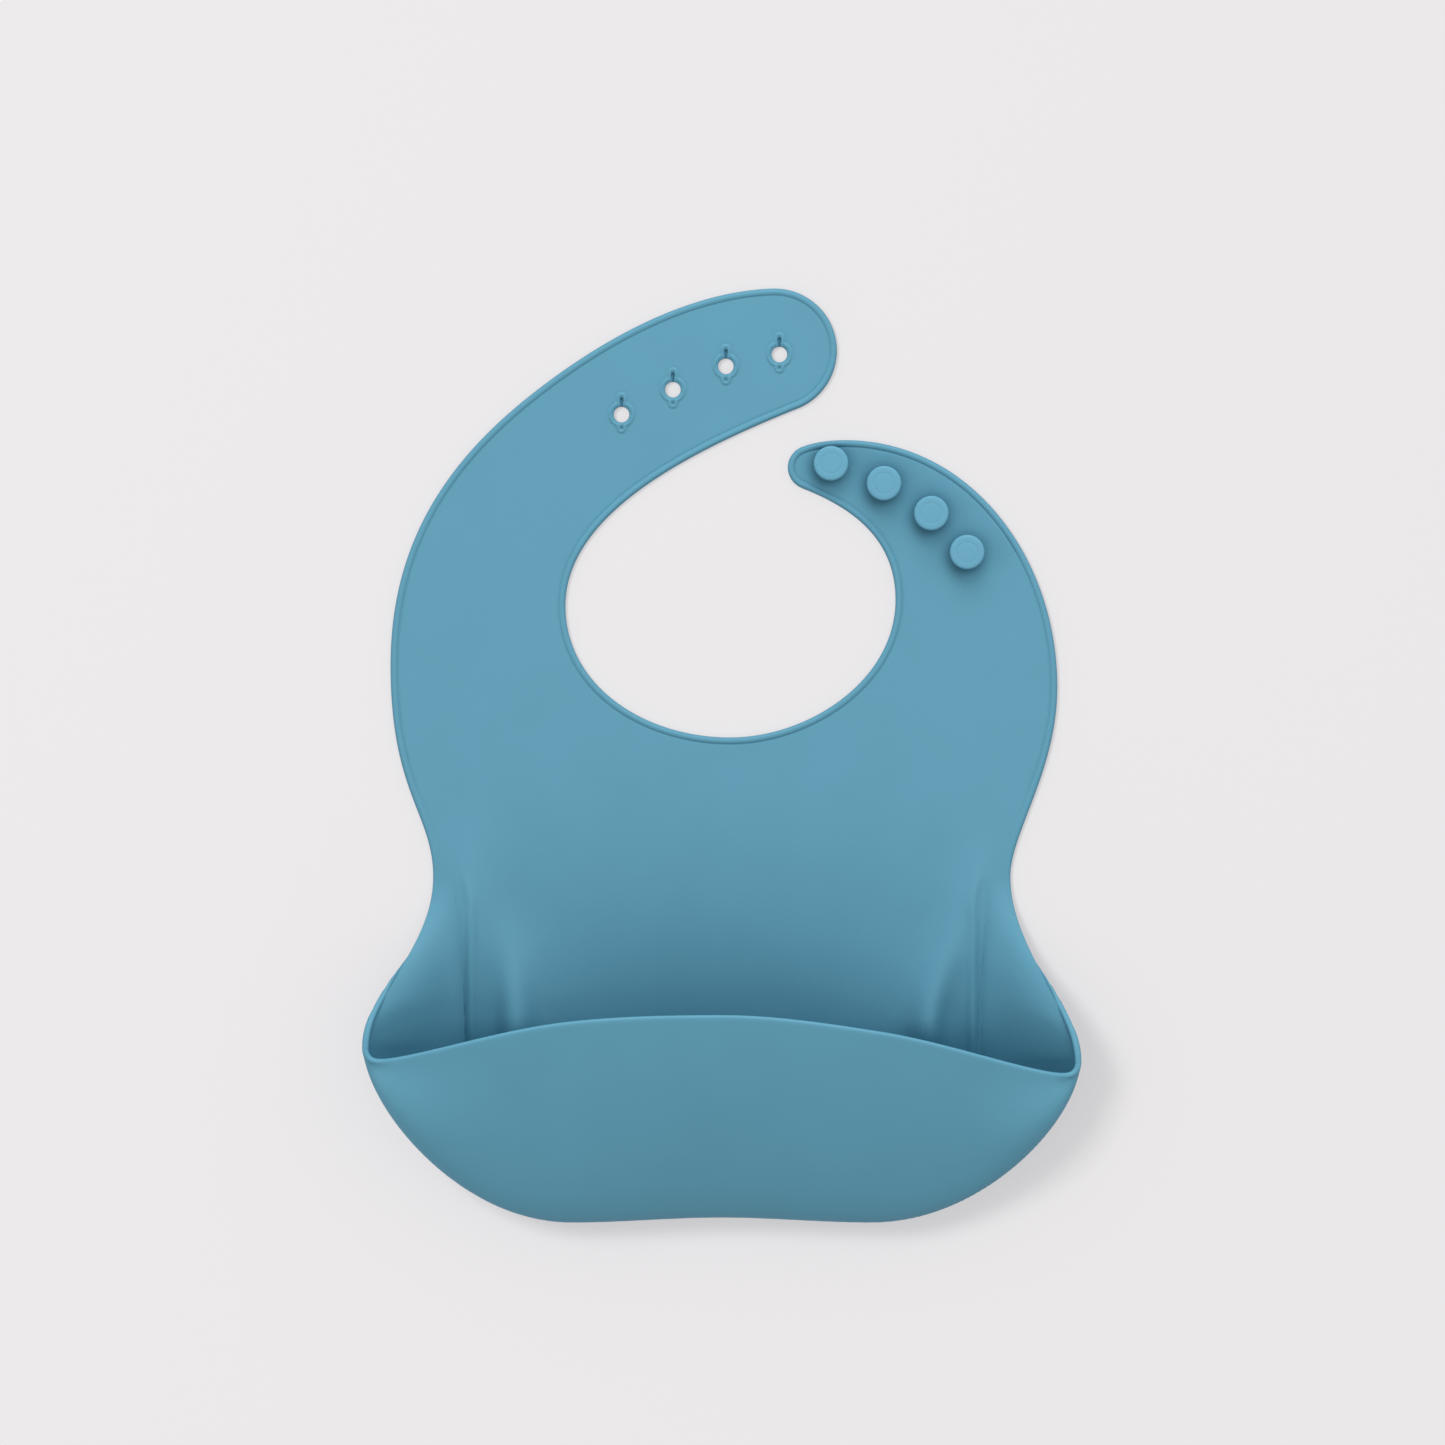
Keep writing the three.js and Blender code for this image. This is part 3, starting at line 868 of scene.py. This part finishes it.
# ---- Studio ----------------------------------------------------------------------------------
VIEW_WIDTH = 0.4641  # metres of table across the picture
VIEW_CENTRE = (0.00024, 0.0106)
CAMERA_HEIGHT = 10.0
FLOOR_GLOW = 0.58  # share of the table's brightness that no shadow reaches


def make_floor():
    size = 12.0  # metres to each side, past the edge of every low view
    corners = [(-size, -size, 0), (size, -size, 0), (size, size, 0), (-size, size, 0)]
    mesh = bpy.data.meshes.new("floor")
    mesh.from_pydata(corners, [], [(0, 1, 2, 3)])
    floor = bpy.data.objects.new("floor", mesh)
    bpy.context.collection.objects.link(floor)
    paper = bpy.data.materials.new("paper")
    paper.use_nodes = True
    surface = paper.node_tree.nodes["Principled BSDF"]
    surface.inputs["Base Color"].default_value = (*linear((168, 166, 167)), 1)
    surface.inputs["Emission Color"].default_value = (*linear((236, 234, 235)), 1)
    surface.inputs["Emission Strength"].default_value = FLOOR_GLOW
    surface.inputs["Roughness"].default_value = 0.9
    surface.inputs["Specular IOR Level"].default_value = 0.0
    floor.data.materials.append(paper)
    return floor


def soft_light(name, azimuth, elevation, distance, size, power, lit):
    """A square light aimed at the middle of the bib, which lights only the given collection."""
    data = bpy.data.lights.new(name, "AREA")
    data.size = size
    data.energy = power
    light = bpy.data.objects.new(name, data)
    bpy.context.collection.objects.link(light)
    turn, tilt = math.radians(azimuth), math.radians(elevation)
    way = Vector((math.cos(turn) * math.cos(tilt), math.sin(turn) * math.cos(tilt), math.sin(tilt)))
    light.location = way * distance
    light.rotation_mode = "QUATERNION"
    light.rotation_quaternion = (-way).to_track_quat("-Z", "Y")
    light.light_linking.receiver_collection = lit


def grouped(name, objects):
    group = bpy.data.collections.new(name)
    for item in objects:
        group.objects.link(item)
    return group


def make_studio():
    scene = bpy.context.scene
    bib = grouped("lit_bib", [item for item in scene.objects if item.type == "MESH"])
    floor = grouped("lit_floor", [make_floor()])
    soft_light("window", 90, 27, 2.5, 1.6, 33, bib)
    soft_light("right_fill", 45, 50, 2.5, 1.6, 21, bib)
    soft_light("left_fill", 180, 18, 2.5, 1.6, 14, bib)
    soft_light("key", 150, 60, 5, 1.6, 116, floor)
    world = bpy.data.worlds.new("studio")
    world.use_nodes = True
    world.node_tree.nodes["Background"].inputs["Color"].default_value = (1, 1, 1, 1)
    world.node_tree.nodes["Background"].inputs["Strength"].default_value = 0.5
    scene.world = world
    scene.view_settings.view_transform = "Standard"
    data = bpy.data.cameras.new("camera")
    data.sensor_width = 36
    data.lens = 36 * (CAMERA_HEIGHT - 0.002) / VIEW_WIDTH
    camera = bpy.data.objects.new("camera", data)
    bpy.context.collection.objects.link(camera)
    camera.location = (*VIEW_CENTRE, CAMERA_HEIGHT)  # it looks straight down
    scene.camera = camera


SILICONE, STUD_SILICONE = (94, 157, 181), (103, 166, 191)  # sRGB

make_bib(silicone_material("silicone", SILICONE, 0.55))
make_studs(silicone_material("stud_silicone", STUD_SILICONE, 0.5))
make_studio()

bpy.context.view_layer.update()
